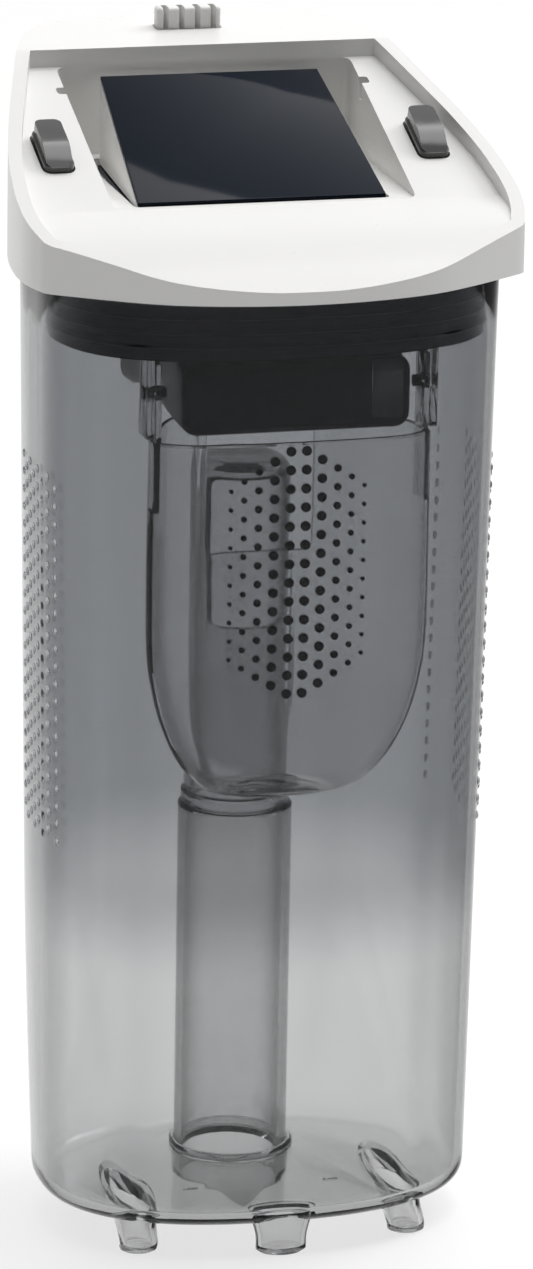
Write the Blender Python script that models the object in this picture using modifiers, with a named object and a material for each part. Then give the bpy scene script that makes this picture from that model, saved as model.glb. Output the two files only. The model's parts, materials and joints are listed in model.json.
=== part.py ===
"""Waste water tank of a cordless floor washer, as separate solids.

Lengths are in millimetres until they reach Blender, which gets metres.
X is to the right, Y to the back, Z up. The tank's feet stand on Z = 0.
Run with: blender --background --python part.py
"""

import math

import bmesh
import bpy
from mathutils import Matrix, Vector

MM = 0.001
GAP = 0.3  # clearance between neighbouring pieces
MIDDLE_Y = 7.0  # depth in the drawing that becomes Y = 0, the middle of the whole

# Tank
LOOP = 48  # points round a plan outline
FLOOR_UNDER = 8.0
FLOOR_TOP = 10.4
TANK_TOP = 250.8
WALL = 2.2
FLOOR_HALF_WIDTH, TOP_HALF_WIDTH = 56.0, 59.0
WIDE_Y = -15.0
FLOOR_FULLNESS, TOP_FULLNESS = 2.3, 2.6  # 2 is an ellipse, more is squarer
FLOOR_FRONT, TOP_FRONT = -55.0, -58.0
TANK_BACK = 47.0
BACK_CURVE_TOP, BACK_CURVE_DEPTH = 95.0, 26.0
SIDE_FOOT_X, SIDE_FOOT_Y = 35.5, -41.0
POCKET_LENGTH = 42.0
FRONT_FOOT_Y = -49.6

# Riser
PIPE_Y = 5.0
RISER_RADIUS, RISER_BORE = 14.9, 12.6
RISER_TOP = 104.0
UPPER_RADIUS, UPPER_BORE = 13.2, 11.3
UPPER_BOTTOM, UPPER_TOP = 108.0, 197.0
MOUTH_HALF_WIDTH, MOUTH_Z = 9.5, (154.0, 193.0)

# Strainer cup
CUP_BOTTOM, CUP_TOP = 119.0, 214.0
CUP_ROUND = 46.0
CUP_WALL = 1.6
CUP_CENTRE_Y = -36.0
SCREEN_HALF_WIDTH, SCREEN_BOTTOM = 20.0, 147.0
PIN_Y, PIN_Z = -42.4, 226.0  # where the cup hangs from the lid
PIN_RADIUS, PIN_BORE = 1.5, 1.9
EAR_Y = (-46.4, -38.4)

# Float chamber
BOX_HALF_WIDTH, BOX_FRONT, BOX_BACK = 29.0, -52.0, 12.0
BOX_BOTTOM, BOX_TOP = 216.0, 234.8
BOX_WALL = 1.6
NECK_FRONT = -45.0
INLETS = (-18.0, -9.0, 0.0, 9.0, 18.0)  # X of the slots in its bottom
WINDOW_X, WINDOW_Z = (18.4, 27.6), (219.0, 234.6)

# Lid
SKIRT_BOTTOM = 251.0
LIP_TOP = 253.4
LID_FRONT, LID_BACK = -62.0, 76.0
DECK_BACK_Y, DECK_BACK_Z = -18.0, 266.6
BRIDGE_FRONT_Y, BRIDGE_TOP = 48.0, 294.0
BACK_EDGE_TOP = 297.0
ARM_BACK_Z = 289.5
RIM = 3.5
SHELL = 2.4
RECESS_HALF_WIDTH, RECESS_FLOOR = 39.0, 266.4
SOCKET_HALF_WIDTH, SOCKET_FLOOR = 33.0, 263.4
BASE_BOTTOM, BASE_TOP = 251.4, 253.4
COLLAR_BOTTOM = 235.4
ARM_SLOPE = math.atan2(ARM_BACK_Z - DECK_BACK_Z, BRIDGE_FRONT_Y - DECK_BACK_Y)
LIP_HEIGHTS = (239.4, 242.8, 246.4)

# Buttons, latches and tab
BUTTON = (7.8, 18.6)
BUTTON_X, BUTTON_Y = 48.8, 8.4
BUTTON_RISE = 4.6
POCKET_DEPTH = 12.6
STEM_END = 14.6
TAB_HALF_WIDTH, TAB_BOTTOM, TAB_TOP = 8.5, 284.0, 301.0
TAB_FRONT, TAB_BACK = 62.5, 67.5
TAB_SEAT = 273.2
LUG_Y = (0.0, 8.0)  # where the rim's catch lugs run
LUG_TOP = 262.0

# Filter
WEDGE_FRONT_Y, WEDGE_BACK_Y = -14.0, 41.6
WEDGE_FRONT_HALF, WEDGE_BACK_HALF = 32.1, 28.7
WEDGE_FOOT = SOCKET_FLOOR + 1.7
WEDGE_FRONT_Z, WEDGE_BACK_Z = WEDGE_FOOT + 0.6, 286.6
PANEL_THICK = 1.2

SCREWS = ((34.0, -6.0), (-34.0, -6.0), (24.0, 28.0), (-24.0, 28.0))


def clear_scene():
    for thing in list(bpy.data.objects):
        bpy.data.objects.remove(thing, do_unlink=True)


def new_collection(name):
    made = bpy.data.collections.new(name)
    bpy.context.scene.collection.children.link(made)
    return made


def material(name, colour, roughness, alpha=1.0):
    made = bpy.data.materials.new(name)
    made.use_nodes = True
    shader = made.node_tree.nodes["Principled BSDF"]
    shader.inputs["Base Color"].default_value = (*colour, 1.0)
    shader.inputs["Roughness"].default_value = roughness
    shader.inputs["Alpha"].default_value = alpha
    return made


# ---- shape helpers ----------------------------------------------------------


def add(bm, name, origin=(0.0, 0.0, 0.0)):
    """Turn a bmesh drawn in millimetres into an object with its origin at `origin`."""
    bmesh.ops.translate(bm, verts=bm.verts, vec=-Vector(origin))
    bmesh.ops.scale(bm, verts=bm.verts, vec=(MM, MM, MM))
    bmesh.ops.recalc_face_normals(bm, faces=bm.faces)
    mesh = bpy.data.meshes.new(name)
    bm.to_mesh(mesh)
    bm.free()
    made = bpy.data.objects.new(name, mesh)
    made.location = (Vector(origin) - Vector((0, MIDDLE_Y, 0))) * MM
    parts.objects.link(made)
    return made


def box(name, low, high, origin=(0.0, 0.0, 0.0)):
    bm = bmesh.new()
    size = [b - a for a, b in zip(low, high)]
    centre = [(a + b) / 2 for a, b in zip(low, high)]
    place = Matrix.Translation(centre) @ Matrix.Diagonal((*size, 1.0))
    bmesh.ops.create_cube(bm, size=1.0, matrix=place)
    return add(bm, name, origin)


def cylinder(name, centre, radius, low, high, segments=32, turn=None):
    bm = bmesh.new()
    place = Matrix.Translation((centre[0], centre[1], (low + high) / 2))
    bmesh.ops.create_cone(
        bm,
        cap_ends=True,
        segments=segments,
        radius1=radius,
        radius2=radius,
        depth=high - low,
        matrix=(turn or Matrix()) @ place,
    )
    return add(bm, name)


def loft(name, rings, ring_shaped=False):
    """Skin matching loops of points; cap the ends, or join last to first for a ring."""
    bm = bmesh.new()
    loops = [[bm.verts.new(point) for point in ring] for ring in rings]
    pairs = list(zip(loops, loops[1:]))
    if ring_shaped:
        pairs.append((loops[-1], loops[0]))
    else:
        bm.faces.new(reversed(loops[0]))
        bm.faces.new(loops[-1])
    for lower, upper in pairs:
        for i in range(len(lower)):
            j = (i + 1) % len(lower)
            bm.faces.new((lower[i], lower[j], upper[j], upper[i]))
    return add(bm, name)


def prism(name, outline, low, high):
    return loft(name, [at_height(outline, low), at_height(outline, high)])


def side_prism(name, profile, half_width):
    """A solid with the (y, z) profile, running across X."""
    return loft(name, [[(x, y, z) for y, z in profile] for x in (-half_width, half_width)])


def combine(target, tool, operation):
    """Apply a Boolean with another object, which becomes a hidden cutter."""
    parts.objects.unlink(tool)
    cutters.objects.link(tool)
    tool.hide_render = True
    tool.display_type = "WIRE"
    step = target.modifiers.new(tool.name, "BOOLEAN")
    step.operation = operation
    step.object = tool
    return target


def cut(target, tool):
    return combine(target, tool, "DIFFERENCE")


def join(target, tool):
    return combine(target, tool, "UNION")


def bevel(target, width, segments=2, angle=40.0):
    step = target.modifiers.new("Rounded edges", "BEVEL")
    step.width = width * MM
    step.segments = segments
    step.limit_method = "ANGLE"
    step.angle_limit = math.radians(angle)
    return target


def paint(target, look):
    target.data.materials.clear()
    target.data.materials.append(look)
    return target


# ---- plan outlines ----------------------------------------------------------


def at_height(outline, z):
    return [(x, y, z) for x, y in outline]


def inset(outline, distance):
    """Move a counter-clockwise outline inwards, along the normal at each point."""
    moved = []
    for i, (x, y) in enumerate(outline):
        before, after = outline[i - 1], outline[(i + 1) % len(outline)]
        along = Vector((after[0] - before[0], after[1] - before[1])).normalized()
        moved.append((x - along.y * distance, y + along.x * distance))
    return moved


def rounded_egg(half_width, front, back, fullness):
    """An oval that is widest at WIDE_Y, with its own reach to the front and the back."""
    outline = []
    for i in range(LOOP):
        turn = math.tau * (i + 0.5) / LOOP
        across, along = math.cos(turn), math.sin(turn)
        reach = back - WIDE_Y if along > 0 else WIDE_Y - front
        outline.append(
            (
                half_width * math.copysign(abs(across) ** (2 / fullness), across),
                WIDE_Y + reach * math.copysign(abs(along) ** (2 / fullness), along),
            )
        )
    return outline


def smooth_loop(half, count):
    """A smooth counter-clockwise loop through right-hand points, mirrored in X.

    The half runs from the front centre to the back centre.
    """
    knots = half + [(-x, y) for x, y in reversed(half[1:-1])]
    loop = []
    for i in range(count):
        place = i * len(knots) / count
        k, t = int(place), place - int(place)
        p = [Vector(knots[(k + j) % len(knots)]) for j in (-1, 0, 1, 2)]
        point = 0.5 * (
            2 * p[1]
            + (p[2] - p[0]) * t
            + (2 * p[0] - 5 * p[1] + 4 * p[2] - p[3]) * t**2
            + (3 * p[1] - p[0] - 3 * p[2] + p[3]) * t**3
        )
        loop.append(tuple(point))
    return loop


def tank_outline(z):
    rise = z / TANK_TOP
    below = max(0.0, 1 - z / BACK_CURVE_TOP)
    return rounded_egg(
        FLOOR_HALF_WIDTH + (TOP_HALF_WIDTH - FLOOR_HALF_WIDTH) * rise,
        FLOOR_FRONT + (TOP_FRONT - FLOOR_FRONT) * rise,
        TANK_BACK - BACK_CURVE_DEPTH * below**2,
        FLOOR_FULLNESS + (TOP_FULLNESS - FLOOR_FULLNESS) * rise,
    )


def lid_outline():
    return smooth_loop(
        [
            (0.0, LID_FRONT),
            (32.0, -56.5),
            (56.5, -41.5),
            (61.6, -36.6),
            (64.2, -24.0),
            (63.0, -6.0),
            (59.5, 12.0),
            (54.5, 30.0),
            (48.0, 52.0),
            (42.0, 66.0),
            (34.0, 73.0),
            (18.0, 75.4),
            (0.0, LID_BACK),
        ],
        66,
    )


def cup_outline():
    return smooth_loop(
        [
            (0.0, -52.8),
            (14.0, -52.5),
            (26.6, -51.2),
            (32.6, -48.4),
            (36.0, -44.8),
            (34.0, -36.0),
            (27.0, -22.5),
            (12.0, -13.5),
            (0.0, -12.6),
        ],
        48,
    )


# ---- tank -------------------------------------------------------------------


def side_foot(mirror, grow, low):
    """A hollow-moulded foot: a long pocket in the floor that narrows to a short leg."""
    rings = []
    for z, x, y, long_half, short_half in (
        (low, SIDE_FOOT_X, SIDE_FOOT_Y, 4.6, 4.8),
        (3.0, SIDE_FOOT_X, SIDE_FOOT_Y + 0.6, 5.6, 5.0),
        (FLOOR_TOP + 1.0, SIDE_FOOT_X - 0.8, SIDE_FOOT_Y + POCKET_LENGTH * 0.36, 21.0, 5.6),
    ):
        ring = []
        for i in range(20):
            turn = math.tau * i / 20
            across = (short_half + grow) * math.cos(turn)
            along = (long_half + grow) * math.sin(turn)
            ring.append(((x + across) * mirror, y + along, z))
        rings.append(ring)
    return loft("foot", rings)


def front_foot(grow, low):
    def oval(half_x, half_y, y, z):
        turns = [math.tau * i / 20 for i in range(20)]
        return [((half_x + grow) * math.cos(t), y + (half_y + grow) * math.sin(t), z) for t in turns]

    return loft(
        "front_foot",
        [
            oval(6.6, 4.4, FRONT_FOOT_Y, low),
            oval(6.8, 4.6, FRONT_FOOT_Y, 5.0),
            oval(8.8, 5.0, FRONT_FOOT_Y + 0.4, FLOOR_TOP + 1.0),
        ],
    )


def tank_body():
    heights = (13.5, 30.0, 50.0, 72.0, 95.0, 160.0, TANK_TOP)
    rings = [at_height(inset(tank_outline(FLOOR_UNDER), 3.4), FLOOR_UNDER)]
    rings.append(at_height(inset(tank_outline(9.2), 1.0), 9.4))
    rings += [at_height(tank_outline(z), z) for z in heights]
    rings += [at_height(inset(tank_outline(z), WALL), z) for z in reversed(heights[1:])]
    rings.append(at_height(inset(tank_outline(13.5), WALL + 0.4), 12.6))
    rings.append(at_height(inset(tank_outline(FLOOR_TOP), WALL + 3.0), FLOOR_TOP))
    tank = loft("tank_body", rings)
    for mirror in (1, -1):
        join(tank, side_foot(mirror, 0.0, 0.0))
    join(tank, front_foot(0.0, 0.0))
    join(tank, cylinder("spigot", (0, PIPE_Y), RISER_RADIUS + 0.6, 0.0, FLOOR_UNDER + 1.0, 40))
    join(tank, cylinder("socket", (0, PIPE_Y), RISER_RADIUS + 2.0, FLOOR_UNDER + 1.0, 14.0, 40))
    for mirror in (1, -1):
        cut(tank, side_foot(mirror, -1.5, 1.6))
        edge = lug_outside()
        lug = box("lug", (edge - 1.4, LUG_Y[0], TANK_TOP - 3), (edge, LUG_Y[1], LUG_TOP))
        if mirror < 0:
            lug.scale.x = -1
        join(tank, lug)
    cut(tank, front_foot(-1.5, 1.6))
    cut(tank, cylinder("socket_bore", (0, PIPE_Y), RISER_RADIUS + GAP, FLOOR_TOP, 20.0, 40))
    cut(tank, cylinder("floor_bore", (0, PIPE_Y), RISER_BORE, -5.0, 20.0, 40))
    return tank


def lug_outside():
    """How far out the catch lugs reach, just inside the rim's outer face."""
    share = (sum(LUG_Y) / 2 - WIDE_Y) / (TANK_BACK - WIDE_Y)
    return TOP_HALF_WIDTH * (1 - share**TOP_FULLNESS) ** (1 / TOP_FULLNESS) - 0.5


def riser_pipe():
    pipe = cylinder("riser_pipe", (0, PIPE_Y), RISER_RADIUS, FLOOR_TOP + GAP, RISER_TOP, 40)
    return cut(pipe, cylinder("riser_bore", (0, PIPE_Y), RISER_BORE, 0, RISER_TOP + 5, 40))


def joint_seal():
    low, high = RISER_TOP + GAP, UPPER_BOTTOM - GAP
    seal = cylinder("joint_seal", (0, PIPE_Y), RISER_RADIUS - 0.9, low, high, 40)
    return cut(seal, cylinder("seal_bore", (0, PIPE_Y), UPPER_BORE, 90, 120, 40))


def upper_pipe():
    """Round pipe with a rounded closed top and a mouth that opens forwards into the cup."""

    def ring(radius, z):
        turns = [math.tau * i / 40 for i in range(40)]
        return [(radius * math.cos(t), PIPE_Y + radius * math.sin(t), z) for t in turns]

    round_off = 5.0
    outside = [ring(UPPER_RADIUS, UPPER_BOTTOM), ring(UPPER_RADIUS, UPPER_TOP - round_off)]
    for degrees in (30, 60, 90):
        t = math.radians(degrees)
        outside.append(
            ring(
                UPPER_RADIUS - round_off * (1 - math.cos(t)),
                UPPER_TOP - round_off * (1 - math.sin(t)),
            )
        )
    pipe = loft("upper_pipe", outside)
    cut(pipe, cylinder("upper_bore", (0, PIPE_Y), UPPER_BORE, 100, UPPER_TOP - 2, 40))
    low, high = (-MOUTH_HALF_WIDTH, -20.0, MOUTH_Z[0]), (MOUTH_HALF_WIDTH, PIPE_Y - 3.0, MOUTH_Z[1])
    return cut(pipe, box("mouth", low, high))


# ---- strainer ---------------------------------------------------------------


def cup_ring(z, wall):
    """The cup's outline at a height, drawn in towards its rounded bottom."""
    climb = min(1.0, (z - CUP_BOTTOM) / CUP_ROUND)
    spread = 0.3 + 0.7 * math.sqrt(1 - (1 - climb) ** 2)
    ring = [(x * spread, CUP_CENTRE_Y + (y - CUP_CENTRE_Y) * spread) for x, y in cup_outline()]
    return at_height(inset(ring, wall), z)


def cup_shell(name):
    heights = [CUP_BOTTOM + CUP_ROUND * share for share in (0.0, 0.06, 0.2, 0.4, 0.65, 1.0)]
    rings = [cup_ring(z, 0.0) for z in heights + [CUP_TOP]]
    rings += [cup_ring(z, CUP_WALL) for z in reversed(heights[1:] + [CUP_TOP])]
    return loft(name, rings)


def screen_window(name, shrink):
    half = SCREEN_HALF_WIDTH - shrink
    return box(name, (-half, -70, SCREEN_BOTTOM + shrink), (half, -45, CUP_TOP - 2 - shrink))


def strainer_cup():
    cup = cup_shell("strainer_cup")
    cut(cup, screen_window("screen_window", 0.0))
    cut(cup, box("cup_back_notch", (-14.0, -30, 176.0), (14.0, 0, CUP_TOP + 5)))
    for mirror in (1, -1):
        ear = box("ear", (33.4, EAR_Y[0], CUP_TOP - 18), (35.0, EAR_Y[1], PIN_Z + 8))
        if mirror < 0:
            ear.scale.x = -1
        join(cup, ear)
    return cut(cup, across("ear_bore", PIN_BORE, -50, 50))


def strainer_screen():
    screen = cup_shell("strainer_screen")
    return combine(screen, screen_window("screen_edge", 0.15), "INTERSECT")


def across(name, radius, low, high):
    """A cylinder along X on the line of the cup's pins."""
    turn = Matrix.Rotation(math.radians(90), 4, "Y")
    return cylinder(name, (-PIN_Z, PIN_Y), radius, low, high, 16, turn=turn)


def hanger_block(name, mirror, grow):
    low, high = sorted((mirror * (35.3 - grow), mirror * (37.1 + grow)))
    top = BASE_BOTTOM - GAP + grow
    return box(name, (low, EAR_Y[0] - grow, PIN_Z - 11), (high, EAR_Y[1] + grow, top))


def cup_hanger(name, mirror):
    """Strap under the lid that holds the cup's ear on its pin."""
    return cut(hanger_block(name, mirror, 0.0), across("hanger_bore", PIN_BORE, -50, 50))


def cup_pin(name, mirror):
    low, high = sorted((mirror * 31.6, mirror * 37.4))
    return across(name, PIN_RADIUS, low, high)


# ---- lid --------------------------------------------------------------------


def deck_height(y):
    """Height of the deck and arms: a convex front, then a straight climb to the back."""
    if y > DECK_BACK_Y:
        return DECK_BACK_Z + (y - DECK_BACK_Y) * math.tan(ARM_SLOPE)
    share = (DECK_BACK_Y - y) / (DECK_BACK_Y - LID_FRONT)
    return DECK_BACK_Z - (DECK_BACK_Z - LIP_TOP) * (0.3 * share + 0.7 * share**2.5)


def deck_profile(drop):
    """(y, z) points from the front lip to the back along the deck, lowered by drop."""
    ys = [LID_FRONT - 2, -58, -53, -46, -38, -28, DECK_BACK_Y, BRIDGE_FRONT_Y, LID_BACK + 2]
    return [(y, deck_height(max(y, LID_FRONT)) - drop) for y in ys]


def recess(name, grow):
    """The open bay between the arms."""
    low = (-RECESS_HALF_WIDTH - grow, DECK_BACK_Y - grow, RECESS_FLOOR - grow)
    return box(name, low, (RECESS_HALF_WIDTH + grow, BRIDGE_FRONT_Y + grow, 330))


def socket(name, grow):
    """The shallow seat for the filter in the bay's floor."""
    half, front, back = SOCKET_HALF_WIDTH + grow, WEDGE_FRONT_Y - 0.9, WEDGE_BACK_Y + 0.9
    return box(name, (-half, front - grow, SOCKET_FLOOR - grow), (half, back + grow, 320))


def lid_shell():
    outline = lid_outline()
    shell = prism("lid_shell", outline, SKIRT_BOTTOM, BRIDGE_TOP + 10)
    rim_top = [(y, z) for y, z in deck_profile(0.0) if y <= -38]
    rim_top += [(BRIDGE_FRONT_Y, BRIDGE_TOP), (LID_BACK + 2, BACK_EDGE_TOP)]
    under = [(LID_BACK + 2, SKIRT_BOTTOM - 5), (LID_FRONT - 2, SKIRT_BOTTOM - 5)]
    combine(shell, side_prism("lid_side", rim_top + under, 80), "INTERSECT")

    above = [(BRIDGE_FRONT_Y, BRIDGE_TOP + 20), (LID_FRONT - 2, BRIDGE_TOP + 20)]
    arm_top = [(y, z) for y, z in deck_profile(0.0) if y <= BRIDGE_FRONT_Y]
    sunk = side_prism("arm_space", arm_top + above, 80)
    cut(shell, combine(sunk, prism("arm_plan", inset(outline, RIM), 240, 330), "INTERSECT"))
    cut(shell, recess("recess", 0.0))
    cut(shell, socket("socket_space", 0.0))

    inner_plan = prism("inner_plan", inset(outline, SHELL), SKIRT_BOTTOM - 8, 330)
    ceiling = deck_profile(SHELL) + under
    hollow = combine(side_prism("hollow", ceiling, 80), inner_plan, "INTERSECT")
    cut(hollow, recess("recess_wall", SHELL))
    cut(hollow, socket("socket_wall", SHELL))
    for x, y in SCREWS:
        cut(hollow, cylinder("boss", (x, y), 4.0, BASE_TOP + GAP, 330, 20))
    cut(shell, hollow)
    for x, y in SCREWS:
        cut(shell, cylinder("boss_bore", (x, y), 1.7, 240, 263.5, 12))
    cut(shell, box("air_way", (-22, -6, 255), (22, 34, RECESS_FLOOR + 2)))
    for mirror in (1, -1):
        join(shell, button_block("button_pocket", mirror, 2.0, -POCKET_DEPTH - 1.6, -1.0))
        cut(shell, button_block("button_hole", mirror, GAP + 0.1, -POCKET_DEPTH, 12.0))
        turn = arm_frame(mirror)
        cut(shell, cylinder("stem_hole", (0, 0), 2.4, -POCKET_DEPTH - 4, -5, 16, turn=turn))
    join(shell, tab_space("tab_pocket", 2.0, TAB_SEAT - 2.0, BRIDGE_TOP - 1.0))
    cut(shell, tab_space("tab_slot", GAP, TAB_SEAT, 310))
    return shell


def tab_space(name, grow, low, high):
    half = TAB_HALF_WIDTH + grow
    return box(name, (-half, TAB_FRONT - grow, low), (half, TAB_BACK + grow, high))


def lid_base():
    """Closing plate under the lid, with the collar that reaches into the tank's neck."""
    neck = tank_outline(TANK_TOP)
    base = prism("lid_base", inset(lid_outline(), SHELL + GAP), BASE_BOTTOM, BASE_TOP)
    lip = [(y, z) for y, z in deck_profile(SHELL + GAP) if y <= DECK_BACK_Y]
    lip += [(DECK_BACK_Y, 300), (LID_FRONT - 2, 300)]
    cut(base, side_prism("lip_space", lip, 80))
    cut(base, box("lip_edge", (-80, LID_FRONT - 5, 240), (80, LID_FRONT + 5, 260)))
    outer, inner = inset(neck, WALL + 2.4), inset(neck, WALL + 4.6)
    collar = loft(
        "collar",
        [
            at_height(outer, COLLAR_BOTTOM),
            at_height(outer, BASE_BOTTOM + 1),
            at_height(inner, BASE_BOTTOM + 1),
            at_height(inner, COLLAR_BOTTOM),
        ],
        ring_shaped=True,
    )
    join(base, collar)
    for mirror in (1, -1):
        cut(base, hanger_block("hanger_gap", mirror, GAP))
        edge = lug_outside()
        low, high = sorted((mirror * (edge - 2.0), mirror * (edge + 0.6)))
        cut(base, box("lug_slot", (low, LUG_Y[0] - 0.5, 250), (high, LUG_Y[1] + 0.5, 260)))
    cut(base, box("base_air_way", (-18, -35, 240), (18, -5, 260)))
    for x, y in SCREWS:
        cut(base, cylinder("screw_hole", (x, y), 1.8, 245, 260, 12))
    return base


def lid_seal():
    """Rubber sleeve with three lips that wipe the inside of the tank's neck."""
    neck = tank_outline(TANK_TOP)
    inner, body, lip = WALL + 2.1, WALL + 1.3, WALL + 0.4
    profile = [(inner, BASE_BOTTOM - 1.2), (inner, COLLAR_BOTTOM + 0.6)]
    profile.append((body, COLLAR_BOTTOM + 0.6))
    for z in LIP_HEIGHTS:
        profile += [(body, z - 0.5), (lip, z - 0.2), (lip, z + 0.4), (body, z + 0.9)]
    profile.append((body, BASE_BOTTOM - 1.2))
    rings = [at_height(inset(neck, distance), z) for distance, z in profile]
    return loft("lid_seal", rings, ring_shaped=True)


def float_chamber():
    """Black box under the lid: the float rises in it and closes the air way."""
    chamber = box(
        "float_chamber",
        (-BOX_HALF_WIDTH, BOX_FRONT, BOX_BOTTOM),
        (BOX_HALF_WIDTH, BOX_BACK, BOX_TOP),
    )
    bevel(chamber, 4.0, 3)
    low = (-BOX_HALF_WIDTH, NECK_FRONT, BOX_TOP - 4)
    join(chamber, box("chamber_neck", low, (BOX_HALF_WIDTH, BOX_BACK, BASE_BOTTOM - GAP)))
    inner = BOX_HALF_WIDTH - BOX_WALL
    cut(
        chamber,
        box(
            "chamber_hollow",
            (-inner, BOX_FRONT + BOX_WALL, BOX_BOTTOM + BOX_WALL),
            (inner, BOX_BACK - BOX_WALL, BOX_TOP - BOX_WALL),
        ),
    )
    low = (-inner, NECK_FRONT + BOX_WALL, BOX_TOP - 4)
    cut(chamber, box("neck_hollow", low, (inner, BOX_BACK - BOX_WALL, 260)))
    for x in INLETS:
        cut(chamber, box("inlet", (x - 2.5, -36, BOX_BOTTOM - 2), (x + 2.5, -4, BOX_BOTTOM + 4)))
    low, high = (WINDOW_X[0], BOX_FRONT - 2, WINDOW_Z[0]), (WINDOW_X[1], BOX_FRONT + 3, WINDOW_Z[1])
    return cut(chamber, box("window_hole", low, high))


def chamber_window():
    low = (WINDOW_X[0] + 0.2, BOX_FRONT + 0.2, WINDOW_Z[0] + 0.2)
    high = (WINDOW_X[1] - 1.0, BOX_FRONT + BOX_WALL, WINDOW_Z[1] - 0.2)
    return box("chamber_window", low, high)


def float_block():
    block = box("float_block", (-20, -37, 219.0), (20, -3, 233.0), origin=(0, -20, 226.0))
    return bevel(block, 2.0, 2)


def screw(index, x, y):
    made = cylinder(f"screw_{index}", (x, y), 1.4, BASE_BOTTOM - 1.0, 262.5, 12)
    head = cylinder("screw_head", (x, y), 3.0, BASE_BOTTOM - GAP - 2.0, BASE_BOTTOM - GAP, 16)
    return join(made, head)


# ---- buttons, latches and release tab ---------------------------------------


def arm_frame(mirror):
    """Button's own frame: its Z axis stands square on the sloping arm."""
    origin = (mirror * BUTTON_X, BUTTON_Y, deck_height(BUTTON_Y))
    return Matrix.Translation(origin) @ Matrix.Rotation(ARM_SLOPE, 4, "X")


def button_block(name, mirror, grow, low, high):
    bm = bmesh.new()
    size = (BUTTON[0] + 2 * grow, BUTTON[1] + 2 * grow, high - low, 1.0)
    middle = Matrix.Translation((0, 0, (low + high) / 2))
    place = arm_frame(mirror) @ middle @ Matrix.Diagonal(size)
    bmesh.ops.create_cube(bm, size=1.0, matrix=place)
    return add(bm, name, arm_frame(mirror).translation)


def button(name, mirror):
    made = button_block(name, mirror, 0.0, -5.0, BUTTON_RISE)
    bevel(made, 1.2, 2)
    stem = cylinder("stem", (0, 0), 2.0, -STEM_END, -3.0, 16, turn=arm_frame(mirror))
    return join(made, stem)


def spring(name, base, radius, length, turn):
    """A helical spring as a thin tube, drawn from its base along its own Z axis."""
    curve = bpy.data.curves.new(name, "CURVE")
    curve.dimensions = "3D"
    curve.bevel_depth = 0.45 * MM
    curve.bevel_resolution = 0
    curve.use_fill_caps = True
    line = curve.splines.new("POLY")
    steps, turns = 40, 4
    line.points.add(steps)
    for i, point in enumerate(line.points):
        angle = math.tau * turns * i / steps
        place = Vector((radius * math.cos(angle), radius * math.sin(angle), length * i / steps))
        point.co = (*((turn @ (place + Vector(base))) * MM), 1.0)
    made = bpy.data.objects.new(name, curve)
    made.location.y = -MIDDLE_Y * MM
    parts.objects.link(made)
    return made


def latch(name, mirror):
    """Slide that the button's stem draws in, clear of the lug on the tank's rim."""
    foot, top = BASE_TOP + GAP, BASE_TOP + GAP + 3.0
    origin = (mirror * BUTTON_X, LUG_Y[1], foot)

    def block(part_name, x_range, y_range, z_high):
        low, high = sorted(mirror * x for x in x_range)
        return box(part_name, (low, y_range[0], foot), (high, y_range[1], z_high), origin)

    tongue = lug_outside() - 1.4 - GAP
    slide = block(name, (45.0, tongue), (LUG_Y[0] + 1.0, LUG_Y[1] - 1.0), top)
    join(slide, block("latch_body", (45.0, 52.0), (LUG_Y[0] + 1.0, 19.0), top))
    return join(slide, block("latch_ramp", (46.5, 51.0), (13.0, 18.0), top + 1.8))


def release_tab():
    tab = box(
        "release_tab",
        (-TAB_HALF_WIDTH, TAB_FRONT, TAB_BOTTOM),
        (TAB_HALF_WIDTH, TAB_BACK, TAB_TOP),
        origin=(0, (TAB_FRONT + TAB_BACK) / 2, TAB_TOP),
    )
    bevel(tab, 0.9, 2)
    for i in range(4):
        x = -6.3 + i * 4.2
        groove = box("groove", (x - 0.8, TAB_FRONT - 1, 294.6), (x + 0.8, TAB_FRONT + 1.4, 305))
        cut(tab, groove)
    return tab


# ---- filter -----------------------------------------------------------------


def wedge(name, shrink, low, front_z, back_z, front_extra=0.0):
    """A block that widens and thins towards the front, under the filter's slope."""
    front_half, back_half = WEDGE_FRONT_HALF - shrink, WEDGE_BACK_HALF - shrink
    front, back = WEDGE_FRONT_Y + shrink + front_extra, WEDGE_BACK_Y - shrink
    lower = [
        (-front_half, front, low),
        (front_half, front, low),
        (back_half, back, low),
        (-back_half, back, low),
    ]
    tops = (front_z, front_z, back_z, back_z)
    upper = [(x, y, top) for (x, y, _), top in zip(lower, tops)]
    return loft(name, [lower, upper])


def filter_frame():
    frame = wedge("filter_frame", 0.0, WEDGE_FOOT, WEDGE_FRONT_Z, WEDGE_BACK_Z)
    return cut(frame, wedge("frame_hollow", 1.6, 250, WEDGE_FOOT + 0.7, WEDGE_BACK_Z - 1.7, 4.0))


def filter_panel():
    """Dark sheet lying on the wedge's slope, with its edges flush with the sides."""
    lift = GAP
    panel = wedge(
        "filter_panel",
        0.0,
        WEDGE_FRONT_Z + lift,
        WEDGE_FRONT_Z + lift + PANEL_THICK,
        WEDGE_BACK_Z + lift + PANEL_THICK,
    )
    keep_out = side_prism(
        "under_panel",
        [
            (WEDGE_FRONT_Y, WEDGE_FRONT_Z + lift),
            (WEDGE_BACK_Y, WEDGE_BACK_Z + lift),
            (WEDGE_BACK_Y + 5, WEDGE_BACK_Z + lift),
            (WEDGE_BACK_Y + 5, 250),
            (WEDGE_FRONT_Y, 250),
        ],
        60,
    )
    return cut(panel, keep_out)


def filter_media():
    """Pleated filter block under the wedge's slope."""
    low = WEDGE_FOOT + 0.2
    return wedge("filter_media", 3.0, low, low + 2.4, WEDGE_BACK_Z - 3.4, 12.0)


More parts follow.
